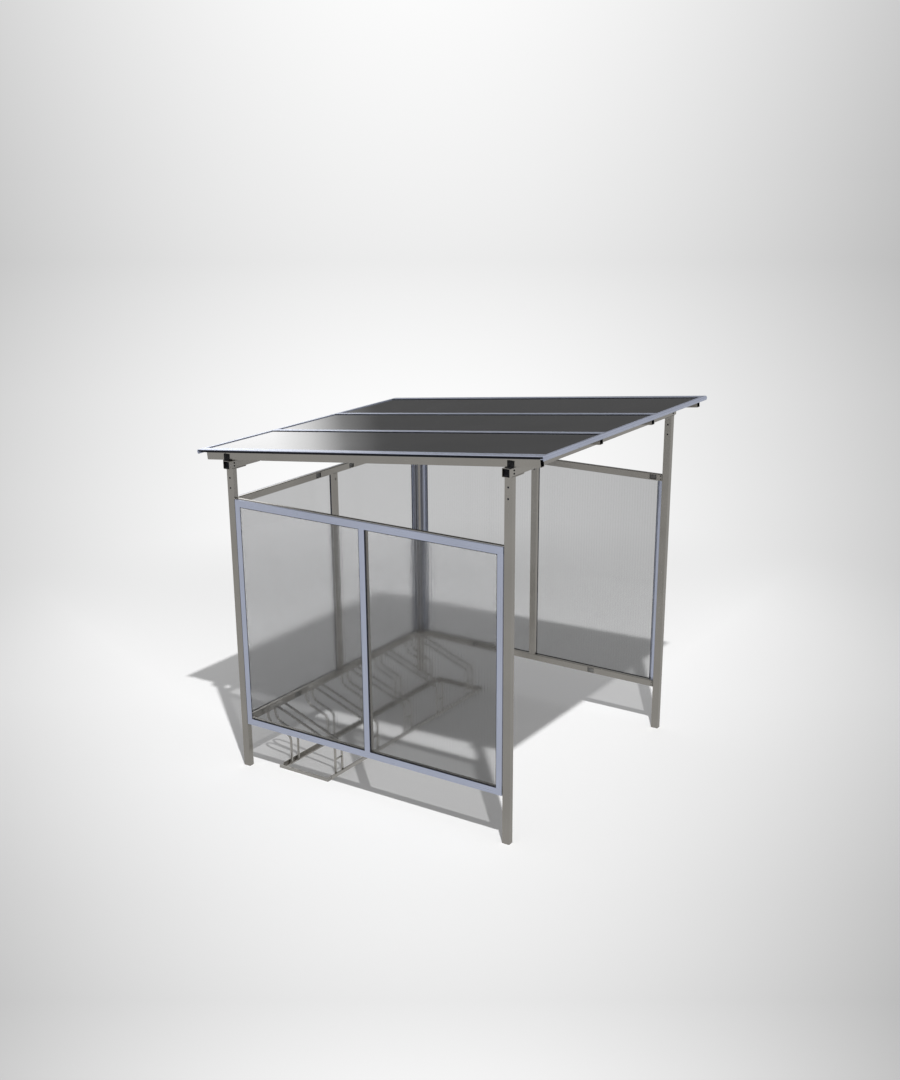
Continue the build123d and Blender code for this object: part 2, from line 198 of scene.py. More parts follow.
class Shader:
    """A material with a Principled shader and short ways to add and join nodes."""

    def __init__(self, name):
        self.open_tree(bpy.data.materials.new(name))
        self.principled = self.find("BSDF_PRINCIPLED")
        self.output = self.find("OUTPUT_MATERIAL")

    def open_tree(self, owner):
        self.owner = owner
        owner.use_nodes = True
        self.tree = owner.node_tree

    def find(self, kind):
        return next(node for node in self.tree.nodes if node.type == kind)

    def add(self, kind, **settings):
        node = self.tree.nodes.new(kind)
        for key, value in settings.items():
            setattr(node, key, value)
        return node

    def join(self, source, target):
        self.tree.links.new(source, target)

    def fill(self, sockets, values):
        """Each socket joined to its source, or set to its value."""
        for socket, value in zip(sockets, values):
            if isinstance(value, bpy.types.NodeSocket):
                self.join(value, socket)
            else:
                socket.default_value = value

    def fill_named(self, node, **values):
        self.fill([node.inputs[key.replace("_", " ")] for key in values], values.values())

    def set(self, **values):
        """Values or sources for the Principled shader."""
        self.fill_named(self.principled, **values)

    def show(self, surface):
        self.join(surface, self.output.inputs["Surface"])

    def coordinates(self, scale=(1, 1, 1)):
        """Object coordinates, stretched by a scale for each axis."""
        place = self.add("ShaderNodeTexCoord")
        mapping = self.add("ShaderNodeMapping")
        self.fill_named(mapping, Scale=scale, Vector=place.outputs["Object"])
        return mapping.outputs["Vector"]

    def turned(self, coordinates, location, yaw):
        """The parts of coordinates seen from a location and a turn about Z."""
        mapping = self.add("ShaderNodeMapping", vector_type="TEXTURE")
        self.fill_named(mapping, Location=location, Rotation=(0, 0, -yaw), Vector=coordinates)
        return self.parts(mapping.outputs["Vector"])

    def parts(self, vector):
        node = self.add("ShaderNodeSeparateXYZ")
        self.join(vector, node.inputs[0])
        return node.outputs

    def noise(self, size, scale=(1, 1, 1), detail=3.0, roughness=0.55):
        node = self.add("ShaderNodeTexNoise")
        self.fill_named(node, Scale=size, Detail=detail, Roughness=roughness, Vector=self.coordinates(scale))
        return node.outputs["Fac"]

    def spread(self, value, low, high, start=0.3, end=0.7, **settings):
        """A value between a start and an end, mapped to a range from low to high."""
        node = self.add("ShaderNodeMapRange", **settings)
        self.fill_named(node, Value=value, From_Min=start, From_Max=end, To_Min=low, To_Max=high)
        return node.outputs["Result"]

    def tint(self, value, colour, low, high, start=0.3, end=0.7):
        """A colour made darker and lighter by a value."""
        node = self.add("ShaderNodeMix", data_type="RGBA")
        shades = [(*(min(1.0, channel * share) for channel in colour), 1.0) for share in (low, high)]
        share = self.spread(value, 0.0, 1.0, start, end)
        self.fill((node.inputs[0], *node.inputs[6:8]), (share, *shades))
        return node.outputs[2]

    def math(self, operation, first, second):
        """An operation on two values, each a socket or a number."""
        node = self.add("ShaderNodeMath", operation=operation)
        self.fill(node.inputs, (first, second))
        return node.outputs[0]

    def vector_math(self, operation, *vectors):
        """A measure of vectors, such as a length or a distance."""
        node = self.add("ShaderNodeVectorMath", operation=operation)
        self.fill(node.inputs, vectors)
        return node.outputs["Value"]

    def blend(self, share, first, second):
        """A mix of two values, each a socket or a number."""
        node = self.add("ShaderNodeMix", data_type="FLOAT")
        self.fill((node.inputs[0], *node.inputs[2:4]), (share, first, second))
        return node.outputs[0]

    def ramp(self, value, stops, interpolation="LINEAR"):
        """Grey levels between stops, each a position from 0 to 1 with its level."""
        node = self.add("ShaderNodeValToRGB")
        node.color_ramp.interpolation = interpolation
        elements = node.color_ramp.elements
        while len(elements) < len(stops):
            elements.new(0.5)
        for element, (position, level) in zip(elements, stops):
            element.position = position
            element.color = (level, level, level, 1)
        self.join(value, node.inputs["Fac"])
        return node.outputs["Color"]

    def mix_shader(self, share, first, second):
        node = self.add("ShaderNodeMixShader")
        self.fill(node.inputs, (share, first, second))
        return node.outputs[0]

    def coloured(self, kind, colour):
        """A shader that has only a colour, from a source or a value."""
        node = self.add(kind)
        self.fill_named(node, Color=colour)
        return node.outputs[0]

    def bump(self, height, strength, distance):
        node = self.add("ShaderNodeBump")
        self.fill_named(node, Strength=strength, Distance=distance, Height=height)
        self.set(Normal=node.outputs["Normal"])


class WorldShader(Shader):
    """The same short ways for the world's nodes."""

    def __init__(self, name):
        self.open_tree(bpy.data.worlds.new(name))
        self.background = self.find("BACKGROUND")


def second_pane(shader, path, pane):
    """The lift that a background gets behind two panes, so that it looks there as it does behind one."""
    past_one_pane = 2.5  # a pane has two faces
    two = shader.math("GREATER_THAN", path.outputs["Transmission Depth"], past_one_pane)
    return shader.math("ADD", shader.math("MULTIPLY", two, 1 / pane - 1), 1.0)


def seen_rays(shader, path):
    """Rays that look at the background, straight or through a pane."""
    return shader.math("MAXIMUM", path.outputs["Is Camera Ray"], path.outputs["Is Transmission Ray"])


def side_fade(shader, sideways):
    """A bell curve of a sideways slope, for light that fades to both sides."""
    offset, steepness, least = 0.04, 4.07, 0.6
    sideways = shader.math("ADD", sideways, offset)
    squared = shader.math("MULTIPLY", sideways, sideways)
    bell = shader.math("EXPONENT", shader.math("MULTIPLY", squared, -steepness), 0.0)
    return shader.math("MAXIMUM", bell, least)


def along(axis, fine, coarse):
    """A scale for each axis that stretches a pattern along one of them."""
    return tuple(coarse if name == axis else fine for name in "XYZ")


def brushed_metal(name, colour, axis, roughness):
    """Metal drawn along one axis: fine lines in gloss and height, soft clouds in colour."""
    shader = Shader(f"{name}_{axis.lower()}")
    clouds = shader.noise(size=2.6, detail=2.0)
    lines = shader.noise(size=420, scale=along(axis, fine=1.0, coarse=0.012), detail=4.0, roughness=0.7)
    shader.set(
        Metallic=1.0,
        Base_Color=shader.tint(clouds, colour, low=0.94, high=1.06),
        Roughness=shader.spread(lines, low=roughness * 0.8, high=roughness * 1.25))
    shader.bump(lines, strength=0.06, distance=0.0004)
    return shader.owner


def anodised(name, colour, axis):
    """Satin anodised aluminium with die lines along one axis."""
    shader = Shader(f"{name}_{axis.lower()}")
    clouds = shader.noise(size=1.8, detail=2.0)
    lines = shader.noise(size=300, scale=along(axis, fine=1.0, coarse=0.01), detail=3.0)
    shader.set(
        Metallic=0.85,
        Base_Color=shader.tint(clouds, colour, low=0.95, high=1.05),
        Roughness=shader.spread(lines, low=0.26, high=0.40))
    shader.bump(lines, strength=0.05, distance=0.0003)
    return shader.owner


def rib_pattern(shader, axis, pitch):
    """Thin lines at an even pitch across one axis: 0 between the ribs, 1 on a rib."""
    wave_rate = 20  # radians that the wave texture runs in one unit
    wave = shader.add("ShaderNodeTexWave", wave_type="BANDS", bands_direction=axis, wave_profile="SIN")
    shader.fill_named(
        wave, Scale=2 * pi / (wave_rate * pitch), Distortion=0.0, Vector=shader.coordinates())
    return shader.spread(wave.outputs["Fac"], 0.0, 1.0, start=0.80, end=0.98)


def glazing(finish, sizes, axis):
    """Tinted, lightly hazed twin-wall sheet with faint ribs, open to lamp light and to reflected light."""
    reflected_share = 0.98
    shader = Shader(f"twin_wall_sheet_{axis.lower()}")
    ribs = rib_pattern(shader, axis, sizes.rib_pitch)
    clouds = shader.noise(size=1.4, detail=2.0)
    shader.set(
        IOR=1.35,
        Transmission_Weight=1.0,
        Base_Color=shader.tint(ribs, finish.pane, low=1.01, high=0.955, start=0.0, end=1.0),
        Roughness=shader.spread(clouds, low=0.06, high=0.09))
    path = shader.add("ShaderNodeLightPath")
    surface = shader.principled.outputs[0]
    for rays, share in (("Is Reflection Ray", reflected_share), ("Is Shadow Ray", 1 - finish.pane_shade)):
        open_glass = shader.coloured("ShaderNodeBsdfTransparent", (share, share, share, 1))
        surface = shader.mix_shader(path.outputs[rays], surface, open_glass)
    shader.show(surface)
    shader.bump(ribs, strength=0.08, distance=0.0005)
    return shader.owner


def smoked_sheet(finish, sizes):
    """Smoked glossy roof sheet with ribs that run down the slope."""
    shader = Shader("smoked_sheet")
    ribs = rib_pattern(shader, "X", sizes.rib_pitch)
    haze = shader.noise(size=3.0, detail=3.0)
    shader.set(
        IOR=1.5,
        Base_Color=shader.tint(haze, finish.roof, low=0.85, high=1.2),
        Roughness=shader.spread(haze, low=0.07, high=0.12))
    shader.bump(ribs, strength=0.04, distance=0.0003)
    return shader.owner


def grained(name, colour, size, detail, shade, roughness, bump, **values):
    """A plain coat with a fine grain; shade and roughness are ranges, bump a strength and a distance."""
    shader = Shader(name)
    grain = shader.noise(size, detail=detail)
    shader.set(
        Base_Color=shader.tint(grain, colour, *shade),
        Roughness=shader.spread(grain, *roughness),
        **values)
    shader.bump(grain, *bump)
    return shader.owner


def painted_black():
    """Black powder coat with a fine orange-peel."""
    return grained(
        "black_coat", (0.012, 0.012, 0.013), size=900, detail=2.0, shade=(0.8, 1.3), roughness=(0.38, 0.52),
        bump=(0.15, 0.0003), Specular_IOR_Level=0.15)


def rubber_and_painted_shade(finish):
    """Dark grained coat for the real gaskets and bar strips, and for the tube plugs and lip blocks that are
    painted shade.
    """
    return grained(
        "rubber_and_painted_shade", finish.rubber_and_painted_shade, size=500, detail=3.0, shade=(0.8, 1.3), roughness=(0.55, 0.75),
        bump=(0.1, 0.0002), Specular_IOR_Level=0.15)


def grey_plastic():
    """Dark grey moulded plastic with a fine grain."""
    return grained(
        "grey_plastic", (0.165, 0.163, 0.158), size=700, detail=2.0, shade=(0.9, 1.1), roughness=(0.50, 0.62),
        bump=(0.1, 0.0002))


# Mesh helpers

def piece(name, build, material, replaced=()):
    """A new piece on the fixed body, from a function that fills a bmesh."""
    bm = bmesh.new()
    build(bm)
    mesh = bpy.data.meshes.new(name)
    bm.to_mesh(mesh)
    bm.free()
    mesh.materials.append(material)
    thing = bpy.data.objects.new(name, mesh)
    bpy.context.scene.collection.objects.link(thing)
    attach(thing, "root")
    if replaced:
        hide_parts(*replaced)


def edges_of(made):
    return list({edge for vert in made["verts"] for edge in vert.link_edges})


def bevel_edges(bm, edges, width, segments=2):
    bmesh.ops.bevel(
        bm, geom=edges, offset=width, offset_type="OFFSET", affect="EDGES", segments=segments,
        profile=0.5, material=-1, clamp_overlap=True)


def add_block(bm, place, size, bevel):
    """A block with softened edges, centred on a place."""
    scale = Matrix.Diagonal((*size, 1.0))
    made = bmesh.ops.create_cube(bm, size=1.0, matrix=place @ scale)
    bevel_edges(bm, edges_of(made), bevel)


def add_rod(bm, place, radius, long, segments):
    """A capped bar, centred on a place and lying along its Z."""
    return bmesh.ops.create_cone(
        bm, cap_ends=True, segments=segments, radius1=radius, radius2=radius, depth=long, matrix=place)


def add_screw(bm, place, radius, height):
    """A low round screw head with a socket, standing on a place along its Z."""
    crown_share, rim_share, socket_share = 0.72, 0.30, 0.5
    made = bmesh.ops.create_cone(
        bm, cap_ends=True, segments=16, radius1=radius, radius2=radius * crown_share, depth=height,
        matrix=place @ Matrix.Translation((0, 0, height / 2)))
    top = max(
        {face for vert in made["verts"] for face in vert.link_faces},
        key=lambda face: (place.inverted() @ face.calc_center_median()).z)
    bmesh.ops.inset_region(bm, faces=[top], thickness=radius * rim_share, depth=0)
    sink = place.to_3x3() @ Vector((0, 0, -height * socket_share))
    bmesh.ops.translate(bm, verts=top.verts, vec=sink)


def add_hex_bolt(bm, place, radius, height):
    """A hexagon bolt head on a washer, standing on a place along its Z."""
    washer_share, washer_reach, edge_share = 0.3, 1.25, 0.06
    washer = height * washer_share
    add_rod(bm, place @ Matrix.Translation((0, 0, washer / 2)), radius * washer_reach, washer, segments=20)
    head = add_rod(bm, place @ Matrix.Translation((0, 0, washer + height / 2)), radius, height, segments=6)
    bevel_edges(bm, edges_of(head), radius * edge_share, segments=1)


def facing(point, direction):
    """A place at a point whose Z looks along a direction."""
    turn = Vector(direction).to_track_quat("Z", "Y").to_matrix().to_4x4()
    return Matrix.Translation(point) @ turn


# The shelter's own lines, read from the frame

def centre(name):
    low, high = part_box(name)
    return (low + high) / 2


def roof_place():
    """The roof's frame: Y runs down the slope from the back beam's rear top edge, Z out of the roof."""
    front_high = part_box("front_beam")[1]
    back_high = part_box("back_beam")[1]
    slope = atan2(front_high.z - back_high.z, back_high.y - front_high.y)
    return Matrix.Translation((0, back_high.y, back_high.z)) @ Matrix.Rotation(-slope, 4, "X")


def roof_box(name):
    """A node's lowest and highest corners in the roof's frame."""
    inverse = roof_place().inverted()
    points = [inverse @ vert.co for vert in nodes[name].data.vertices]
    return [Vector(pick(point[axis] for point in points) for axis in range(3)) for pick in (min, max)]


def wall_place(wall):
    """A wall's place: X along the wall, Y inwards from the outer face, Z up."""
    low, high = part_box(f"{wall}_trim_bands")
    middle = (low + high) / 2
    point, turn = {
        "left_wall": ((low.x, middle.y, 0), -pi / 2),
        "right_wall": ((high.x, middle.y, 0), pi / 2),
        "back_wall": ((middle.x, high.y, 0), pi)}[wall]
    return Matrix.Translation(point) @ Matrix.Rotation(turn, 4, "Z")


def level_sizes(name):
    """The shorter and the longer level side of a node's box."""
    low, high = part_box(name)
    return sorted((high.x - low.x, high.y - low.y))


def wall_rails(wall):
    """A wall's two rails: name, lowest and highest Z, inner face in the wall's place, and length."""
    to_wall = wall_place(wall).inverted()
    for rail in ("top_rail", "bottom_rail"):
        name = f"{wall}_{rail}"
        low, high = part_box(name)
        deep, long = level_sizes(name)
        yield rail, low.z, high.z, (to_wall @ ((low + high) / 2)).y + deep / 2, long


# Operators

class SHELTER_OT_finishes(bpy.types.Operator):
    """Give every CAD node its finish"""
    bl_idname = "shelter.finishes"
    bl_label = "Finish the frame"

    def execute(self, context):
        finish = context.scene.shelter_finish
        sizes = context.scene.shelter_sizes
        steel = {axis: brushed_metal("frame_steel", finish.steel, axis, roughness=0.22) for axis in "XYZ"}
        trim = {axis: anodised("trim_aluminium", finish.trim, axis) for axis in "XYZ"}
        rack = {axis: brushed_metal("rack_steel", finish.rack, axis, roughness=0.18) for axis in "XY"}
        glass = {axis: glazing(finish, sizes, axis) for axis in "XY"}
        roof = smoked_sheet(finish, sizes)
        finishes = {name: steel["Z"] for name in POSTS}
        finishes.update({name: steel["X"] for name in ("front_beam", "back_beam", "post_head_plates")})
        finishes.update({name: steel["Y"] for name in RAFTERS})
        finishes.update({name: trim["Y"] for name in BARS})
        finishes.update({name: trim["X"] for name in ("roof_front_profile", "roof_back_profile")})
        finishes.update({name: roof for name in SHEETS})
        finishes["rafter_brackets"] = painted_black()
        for wall in WALLS:
            axis = "X" if wall == "back_wall" else "Y"
            finishes[f"{wall}_top_rail"] = steel[axis]
            finishes[f"{wall}_bottom_rail"] = steel[axis]
            finishes[f"{wall}_mid_post"] = steel["Z"]
            finishes[f"{wall}_trim_bands"] = trim[axis]
            finishes[f"{wall}_trim_stiles"] = trim["Z"]
            finishes[f"{wall}_panes"] = glass[axis]
        for name in ("rack_rails", "rack_front_legs", "rack_slope_bars", "rack_back_legs"):
            finishes[name] = rack["X"]
        finishes["rack_end_bars"] = rack["Y"]
        for name, thing in nodes.items():
            thing.material_slots[0].material = finishes[name]
        return {"FINISHED"}


class SHELTER_OT_end_plugs(bpy.types.Operator):
    """Set dark plugs inside beam and rafter ends, and capped ones in the post head holes: painted shade for
    their dark insides
    """
    bl_idname = "shelter.end_plugs"
    bl_label = "Add end plugs"

    def execute(self, context):
        sizes = context.scene.shelter_sizes
        thick, soft_edge, play = 0.003, 0.001, 0.0004
        gap = 2 * sizes.tube_wall + play
        # The hole plugs, and the dark caps round the holes, are painted shade for the dark insides of the
        # holes.
        hole_shade_plug = (-0.0013, {"radius": 0.0044, "long": 0.002})
        hole_shade_cap = (0.0003, {"radius": 0.0057, "long": 0.0008})

        def build(bm):
            for beam in ("front_beam", "back_beam"):
                low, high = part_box(beam)
                middle = (low + high) / 2
                size = (thick, high.y - low.y - gap, high.z - low.z - gap)
                for sign, end in ((-1, low.x), (1, high.x)):
                    place = Matrix.Translation((end - sign * sizes.shade_plug_depth, middle.y, middle.z))
                    add_block(bm, place, size, soft_edge)
            size = (sizes.rafter_wide - gap, thick, sizes.rafter_tall - gap)
            for rafter in RAFTERS:
                low, high = roof_box(rafter)
                for sign, y in ((1, low.y), (-1, high.y)):
                    end = Vector((centre(rafter).x, y + sign * sizes.shade_plug_depth, sizes.rafter_tall / 2))
                    add_block(bm, roof_place() @ Matrix.Translation(end), size, soft_edge)
            for post in POSTS:
                low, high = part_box(post)
                for drop in (sizes.head_hole_drop, sizes.head_hole_drop + sizes.head_hole_spacing):
                    for sign, x in ((-1, low.x), (1, high.x)):
                        for out, part in (hole_shade_plug, hole_shade_cap):
                            point = (x + sign * out, (low.y + high.y) / 2, high.z - drop)
                            add_rod(bm, facing(point, (sign, 0, 0)), **part, segments=20)

        piece("tube_shade_plugs", build, rubber_and_painted_shade(context.scene.shelter_finish))
        return {"FINISHED"}


class SHELTER_OT_beam_screws(bpy.types.Operator):
    """Put the screws that hold beams on posts, and the brackets' bolts"""
    bl_idname = "shelter.beam_screws"
    bl_label = "Add beam screws"

    def execute(self, context):
        sizes = context.scene.shelter_sizes
        screw_radius, screw_height, half_pitch = 0.0055, 0.003, 0.009
        bolt_radius, bolt_height, bracket_thick = 0.0055, 0.004, 0.005
        bolt_out, bolt_up = 0.014, 0.024  # from the beam's middle and from its top

        def build(bm):
            for row in ROWS:
                low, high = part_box(f"{row}_beam")
                height = (low.z + high.z) / 2
                for side in SIDES:
                    x = centre(f"post_{row}_{side}").x
                    for y, direction in ((low.y, (0, -1, 0)), (high.y, (0, 1, 0))):
                        for z in (height - half_pitch, height + half_pitch):
                            add_screw(bm, facing((x, y, z), direction), screw_radius, screw_height)

        def build_bolts(bm):
            for row, outward in zip(ROWS, (-1, 1)):
                low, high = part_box(f"{row}_beam")
                y = (low.y + high.y) / 2 + outward * bolt_out
                for rafter in RAFTERS:
                    x = centre(rafter).x
                    sign = -1 if x < 0 else 1
                    face = x + sign * (sizes.rafter_wide / 2 + bracket_thick)
                    place = facing((face, y, high.z + bolt_up), (sign, 0, 0))
                    add_hex_bolt(bm, place, bolt_radius, bolt_height)

        black = painted_black()
        piece("beam_screws", build, black)
        piece("bracket_bolts", build_bolts, black)
        return {"FINISHED"}


class SHELTER_OT_gaskets(bpy.types.Operator):
    """Lay dark gaskets along the inner edges of the trim, round every pane, on both faces"""
    bl_idname = "shelter.gaskets"
    bl_label = "Add pane gaskets"

    def execute(self, context):
        sizes = context.scene.shelter_sizes
        material = rubber_and_painted_shade(context.scene.shelter_finish)
        gasket = sizes.gasket
        thick_share, soft_share = 0.8, 0.3
        rebate_play, rebate_strip = 0.001, 0.0018
        for wall in WALLS:
            place = wall_place(wall)
            low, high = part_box(f"{wall}_panes")
            bottom, top = low.z + sizes.pane_inset, high.z - sizes.pane_inset
            pane_deep, panes_long = level_sizes(f"{wall}_panes")
            trim_deep = level_sizes(f"{wall}_trim_bands")[0]
            lip = (trim_deep - pane_deep) / 2
            thick = lip * thick_share
            reach = panes_long / 2 - sizes.pane_inset

            def build(bm):
                for sign in (-1, 1):
                    near, far = sign * sizes.mullion / 2, sign * reach
                    wide, tall = abs(far - near), top - bottom
                    middle_x, middle_z = (near + far) / 2, (bottom + top) / 2
                    rebate = far + sign * (sizes.pane_inset + rebate_play)
                    for y, outer_x, outer_wide in (
                            (lip / 2, far - sign * gasket / 2, gasket),
                            (trim_deep - lip / 2, rebate, rebate_strip)):
                        strips = [
                            ((near + sign * gasket / 2, y, middle_z), (gasket, thick, tall)),
                            ((outer_x, y, middle_z), (outer_wide, thick, tall))]
                        for z in (bottom + gasket / 2, top - gasket / 2):
                            strips.append(((middle_x, y, z), (wide - 2 * gasket, thick, gasket)))
                        for point, size in strips:
                            add_block(bm, place @ Matrix.Translation(point), size, thick * soft_share)

            piece(f"{wall}_gaskets", build, material)
        return {"FINISHED"}


class SHELTER_OT_roof_seals(bpy.types.Operator):
    """Fill the open lips of the outer roof bars with black blocks as painted shade for the recess, and lay
    sealing strips beside every bar
    """
    bl_idname = "shelter.roof_seals"
    bl_label = "Add roof seals"

    def execute(self, context):
        sizes = context.scene.shelter_sizes
        end_play, shade_fill_cut, shade_fill_play, shade_fill_lift = 0.002, 0.008, 0.0004, 0.0003
        strip_wide, strip_tall = 0.004, sizes.bar_flange - 0.001
        shade_fill_edge, strip_edge = 0.001, 0.0008
        shade_fill_deep = sizes.edge_lip - shade_fill_cut

        def build(bm):
            for index, name in enumerate(BARS):
                low, high = roof_box(name)
                long, middle = high.y - low.y - end_play, (low.y + high.y) / 2
                outer = {0: -1, len(BARS) - 1: 1}.get(index)
                # The black block in an outer lip is painted shade, set where the recess under the flange is
                # only dark.
                if outer:
                    edge = low.x if outer < 0 else high.x
                    tall = high.z - low.z - sizes.bar_flange - 2 * shade_fill_lift
                    x = edge - outer * (sizes.edge_lip - shade_fill_deep / 2 - shade_fill_play)
                    place = roof_place() @ Matrix.Translation((x, middle, low.z + shade_fill_lift + tall / 2))
                    add_block(bm, place, (shade_fill_deep, long, tall), shade_fill_edge)
                z = high.z - sizes.bar_flange + strip_tall / 2
                for sign, edge in ((-1, low.x), (1, high.x)):
                    if sign != outer:
                        place = roof_place() @ Matrix.Translation((edge + sign * strip_wide / 2, middle, z))
                        add_block(bm, place, (strip_wide, long, strip_tall), strip_edge)

        piece("roof_seals", build, rubber_and_painted_shade(context.scene.shelter_finish))
        return {"FINISHED"}


class SHELTER_OT_slot_covers(bpy.types.Operator):
    """Close the rails' access slots with grey covers set a little inside"""
    bl_idname = "shelter.slot_covers"
    bl_label = "Add slot covers"

    def execute(self, context):
        sizes = context.scene.shelter_sizes
        thick, inset, soft_edge = 0.002, 0.004, 0.0005
        past_ends, past_sides = 0.006, 0.004
        size = (sizes.slot_long + past_ends, thick, sizes.slot_tall + past_sides)

        def build(bm):
            for wall in WALLS:
                place = wall_place(wall)
                for rail, low_z, high_z, inner, long in wall_rails(wall):
                    start = (long / 2 - sizes.slot_long) / 2
                    if rail == "top_rail":
                        end_start = long / 2 - sizes.slot_end_gap - sizes.slot_long
                        start = sizes.slot_middle if wall == "back_wall" else end_start
                    for sign in (-1, 1):
                        x = sign * (start + sizes.slot_long / 2)
                        point = (x, inner - sizes.tube_wall - inset, (low_z + high_z) / 2)
                        add_block(bm, place @ Matrix.Translation(point), size, soft_edge)

        piece("slot_covers", build, grey_plastic())
        return {"FINISHED"}


class SHELTER_OT_rail_plates(bpy.types.Operator):
    """Screw an end plate on the inner face of each wall rail, beside the post"""
    bl_idname = "shelter.rail_plates"
    bl_label = "Add rail end plates"

    def execute(self, context):
        finish = context.scene.shelter_finish
        plate_long, plate_thick, margin, end_gap, soft_edge = 0.018, 0.0025, 0.004, 0.0005, 0.0006
        screw_radius, screw_height, screw_shares = 0.004, 0.0025, (0.27, 0.73)
        plates = []
        for wall in WALLS:
            for _, low_z, high_z, inner, long in wall_rails(wall):
                for sign in (-1, 1):
                    x = sign * (long / 2 - plate_long / 2 - end_gap)
                    plates.append((wall_place(wall), x, inner, low_z, high_z))

        def build(bm):
            for place, x, inner, low_z, high_z in plates:
                point = (x, inner + plate_thick / 2, (low_z + high_z) / 2)
                size = (plate_long, plate_thick, high_z - low_z - 2 * margin)
                add_block(bm, place @ Matrix.Translation(point), size, soft_edge)

        def build_screws(bm):
            for place, x, inner, low_z, high_z in plates:
                direction = place.to_3x3() @ Vector((0, 1, 0))
                for share in screw_shares:
                    point = place @ Vector((x, inner + plate_thick, low_z + (high_z - low_z) * share))
                    add_screw(bm, facing(point, direction), screw_radius, screw_height)

        steel = brushed_metal("plate_steel", finish.steel, "Z", roughness=0.3)
        piece("rail_end_plates", build, steel)
        piece("rail_end_screws", build_screws, painted_black())
        return {"FINISHED"}


class SHELTER_OT_profile_screws(bpy.types.Operator):
    """Put a screw in the middle of each bay on the front and back profiles"""
    bl_idname = "shelter.profile_screws"
    bl_label = "Add profile screws"

    def execute(self, context):
        screw_radius, screw_height, screw_in, screw_up = 0.0045, 0.0025, 0.0036, 0.007

        def build(bm):
            xs = [centre(name).x for name in RAFTERS]
            for row, sign in zip(ROWS, (-1, 1)):
                low, high = roof_box(f"roof_{row}_profile")
                face = low.y if sign < 0 else high.y
                for left, right in zip(xs, xs[1:]):
                    point = Vector(((left + right) / 2, face - sign * screw_in, low.z + screw_up))
                    place = roof_place() @ facing(point, (0, sign, 0))
                    add_screw(bm, place, screw_radius, screw_height)

        piece("profile_screws", build, painted_black())
        return {"FINISHED"}


class SHELTER_OT_rack(bpy.types.Operator):
    """Bend the rack's round bars into hairpin hoops and weld their feet"""
    bl_idname = "shelter.rack"
    bl_label = "Build the rack's bars"

    def execute(self, context):
        sizes = context.scene.shelter_sizes
        finish = context.scene.shelter_finish
        holder_count, cross_bar_radius = 5, 0.006
        weld_radius, weld_lift = 0.0025, 0.0008
        bend_steps, loop_steps, weld_steps = 8, 24, 20
        low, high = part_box("rack_rails")
        back_y = high.y - (high.y - low.y - sizes.rack_depth) / 2
        front_y = back_y - sizes.rack_depth
        slope = sizes.hoop_slope
        bend = pi / 2 - slope
        holders = [(index - (holder_count - 1) / 2) * sizes.holder_pitch for index in range(holder_count)]
        bars = [x + side * sizes.hoop_spacing / 2 for x in holders for side in (-1, 1)]
        foot = sizes.rack_angle

        def turn(bm, ring, pivot, angle, steps):
            swept = bmesh.ops.spin(
                bm, geom=ring, cent=pivot, axis=(1, 0, 0), angle=angle, steps=steps, use_merge=False,
                use_duplicate=False)
            return [part for part in swept["geom_last"] if isinstance(part, bmesh.types.BMEdge)]

        def push(bm, ring, vector):
            grown = bmesh.ops.extrude_edge_only(bm, edges=ring)
            verts = [part for part in grown["geom"] if isinstance(part, bmesh.types.BMVert)]
            bmesh.ops.translate(bm, verts=verts, vec=vector)
            return [part for part in grown["geom"] if isinstance(part, bmesh.types.BMEdge)
                    and all(vert in verts for vert in part.verts)]

        def add_hoop(bm, x):
            made = bmesh.ops.create_circle(
                bm, cap_ends=False, segments=20, radius=sizes.hoop_radius,
                matrix=Matrix.Translation((x, front_y, foot)))
            forward = Vector((0, cos(slope), sin(slope)))
            corner = Vector((x, front_y, sizes.hoop_front))
            below = Vector((0, sin(slope), -cos(slope))) * sizes.loop_radius
            bend_cut = sizes.hoop_bend * tan(bend / 2)
            arm_corner = (sizes.rack_depth - 2 * below.y) / cos(slope)
            front_top = sizes.hoop_front - bend_cut
            back_top = (corner + forward * arm_corner + 2 * below).z - bend_cut
            ring = push(bm, edges_of(made), Vector((0, 0, front_top - foot)))
            ring = turn(bm, ring, (x, front_y + sizes.hoop_bend, front_top), -bend, bend_steps)
            ring = push(bm, ring, forward * (sizes.hoop_run - bend_cut))
            ring = turn(bm, ring, corner + forward * sizes.hoop_run + below, -pi, loop_steps)
            ring = push(bm, ring, -forward * (sizes.hoop_run - arm_corner - bend_cut))
            ring = turn(bm, ring, (x, back_y + sizes.hoop_bend, back_top), bend, bend_steps)
            push(bm, ring, Vector((0, 0, foot - back_top)))

        def add_weld(bm, x, y):
            start = Matrix.Translation((x + sizes.hoop_radius, y, foot + weld_lift))
            made = bmesh.ops.create_circle(
                bm, cap_ends=False, segments=8, radius=weld_radius,
                matrix=start @ Matrix.Rotation(pi / 2, 4, "X"))
            bmesh.ops.spin(
                bm, geom=made["verts"] + edges_of(made), cent=(x, y, foot), axis=(0, 0, 1), angle=2 * pi,
                steps=weld_steps, use_merge=True, use_duplicate=False)

        def build(bm):
            for x in bars:
                add_hoop(bm, x)
                for y in (front_y, back_y):
                    add_weld(bm, x, y)
            for x in holders:
                place = Matrix.Translation((x, front_y, sizes.cross_bar)) @ Matrix.Rotation(pi / 2, 4, "Y")
                add_rod(bm, place, cross_bar_radius, sizes.hoop_spacing, segments=16)
            for face in bm.faces:
                face.smooth = True
            feet = [edge for edge in bm.edges if edge.is_boundary]
            for edge in feet:
                edge.smooth = False
            bmesh.ops.holes_fill(bm, edges=feet, sides=0)
            bmesh.ops.recalc_face_normals(bm, faces=bm.faces)

        steel = brushed_metal("rack_bar_steel", finish.rack, "Y", roughness=0.2)
        replaced = ("rack_front_legs", "rack_slope_bars", "rack_back_legs")
        piece("rack_hoops", build, steel, replaced)
        return {"FINISHED"}


